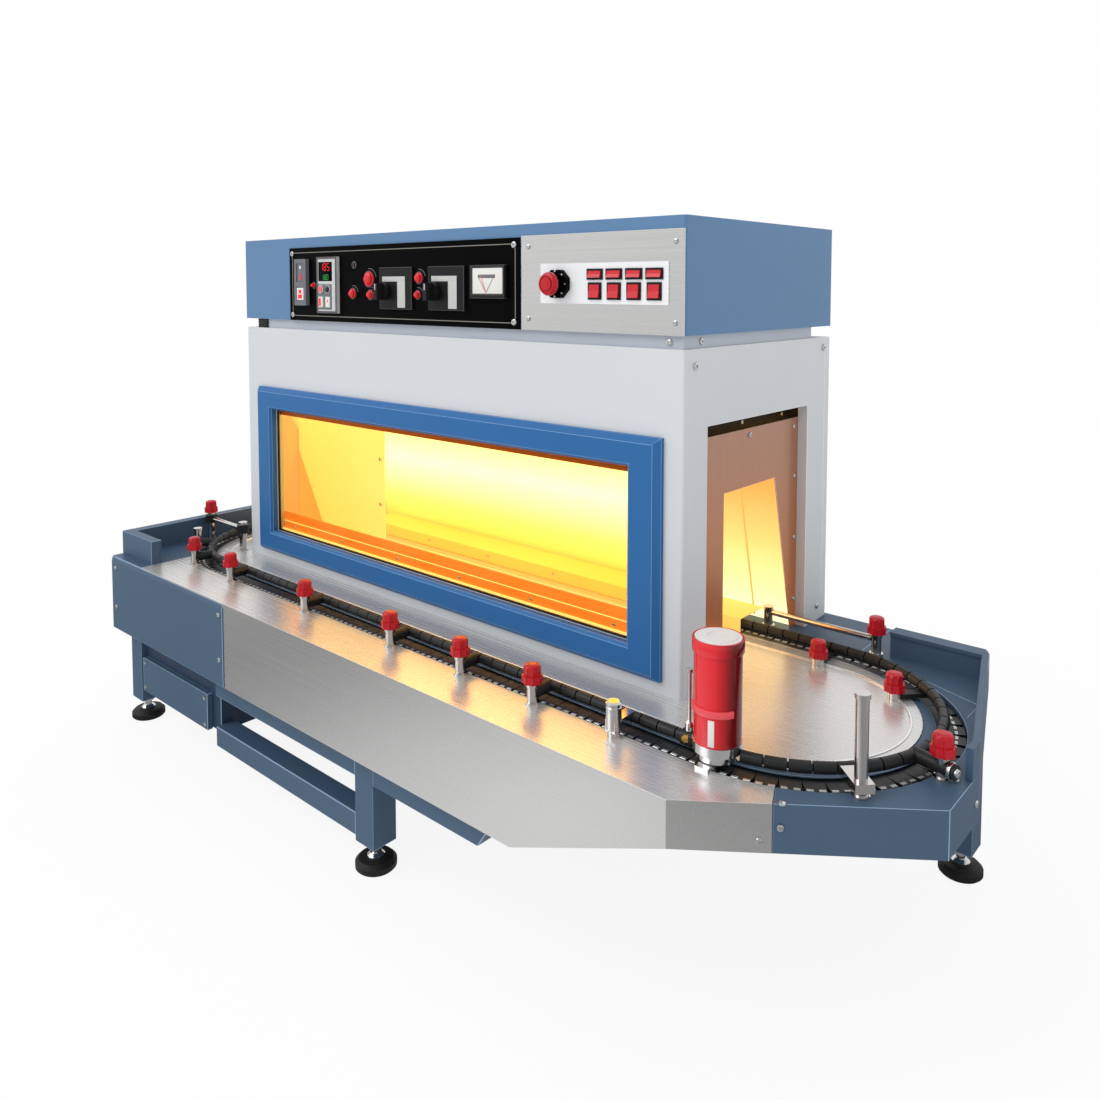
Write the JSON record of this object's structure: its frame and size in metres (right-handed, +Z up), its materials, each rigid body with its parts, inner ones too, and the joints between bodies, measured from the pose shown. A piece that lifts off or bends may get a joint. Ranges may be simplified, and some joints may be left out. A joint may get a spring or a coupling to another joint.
{
  "type": "heat shrink tunnel",
  "caption": "Heat shrink tunnel with an amber side window and a control box on top, over an oval table-top chain conveyor on a legged steel bed.",
  "frame": {"origin": "on the floor, under the middle of the whole machine", "axes": "+X to the right along the bed as seen from the control panel, +Y to the rear, +Z up"},
  "size_m": [2.39, 0.98, 1.462],
  "materials": {
    "bed_blue": "satin paint",
    "box_blue": "satin paint",
    "frame_blue": "satin paint",
    "drive_blue": "satin paint",
    "panel_grey": "satin powder coat",
    "neck_grey": "satin paint",
    "stainless": "brushed",
    "hot_liner": "lit stainless",
    "chrome": "polished",
    "foot_rubber": "matt",
    "chain_black": "moulded",
    "chain_steel": "oiled",
    "black_plastic": "moulded",
    "black_panel": "semi gloss",
    "red_plastic": "moulded",
    "red_lamp": "clear red",
    "oiler_red": "translucent",
    "amber_glass": "tinted, polished",
    "white_plate": "smooth",
    "instrument_grey": "moulded"
  },
  "bodies": {
    "machine": {"legs": "bed_blue", "foot_pads": "foot_rubber", "foot_studs": "chrome", "top_rails": "bed_blue", "lower_rails": "bed_blue", "drive_housing": "drive_blue", "drive_cover": "bed_blue", "bed_plate": "bed_blue", "front_skirt": "stainless", "front_left_panel": "bed_blue", "left_end_tray": "bed_blue", "left_end_wall": "bed_blue", "right_end_tray": "bed_blue", "rear_guard": "bed_blue", "rear_apron": "bed_blue", "deck_base": "bed_blue", "deck_plate": "stainless", "chain_links": "chain_steel", "chain_slats": "chain_black", "guide_rail": "black_plastic", "guide_posts": "chrome", "guide_clamps": "black_plastic", "clamp_knobs": "red_plastic", "rear_guide_bar": "chrome", "oiler_reservoir": "oiler_red", "oiler_fittings": "chrome", "front_panel": "panel_grey", "right_end_panel": "panel_grey", "left_end_panel": "panel_grey", "rear_panel": "panel_grey", "roof_panel": "panel_grey", "window_frame": "frame_blue", "window_glass": "amber_glass", "chamber_liner": "hot_liner", "window_sill": "hot_liner", "mouth_liners": "hot_liner", "neck": "neck_grey", "control_box": "box_blue", "control_panel": "black_panel", "switch_panel": "stainless", "switch_label_plate": "white_plate", "estop_base": "black_plastic", "rocker_switches": "red_lamp", "temperature_controller": "instrument_grey", "power_module": "instrument_grey", "selector_plates": "black_plastic", "pilot_lamps": "red_lamp", "panel_meter": "black_plastic"},
    "estop_button": {"estop_head": "red_plastic"},
    "left_selector": {"selector_left": "black_plastic"},
    "right_selector": {"selector_right": "black_plastic"}
  },
  "joints": [
    {"name": "estop_push", "type": "slide", "parent": "machine", "child": "estop_button", "axis": [0, 1, 0], "range_m": [0, 0.005], "stiffness_N_per_m": 800},
    {"name": "left_selector_turn", "type": "hinge", "parent": "machine", "child": "left_selector", "pos_m": [-0.232, -0.181, 1.311], "axis": [0, -1, 0], "range_deg": [-45, 45]},
    {"name": "right_selector_turn", "type": "hinge", "parent": "machine", "child": "right_selector", "pos_m": [-0.042, -0.181, 1.311], "axis": [0, -1, 0], "range_deg": [-45, 45]}
  ]
}
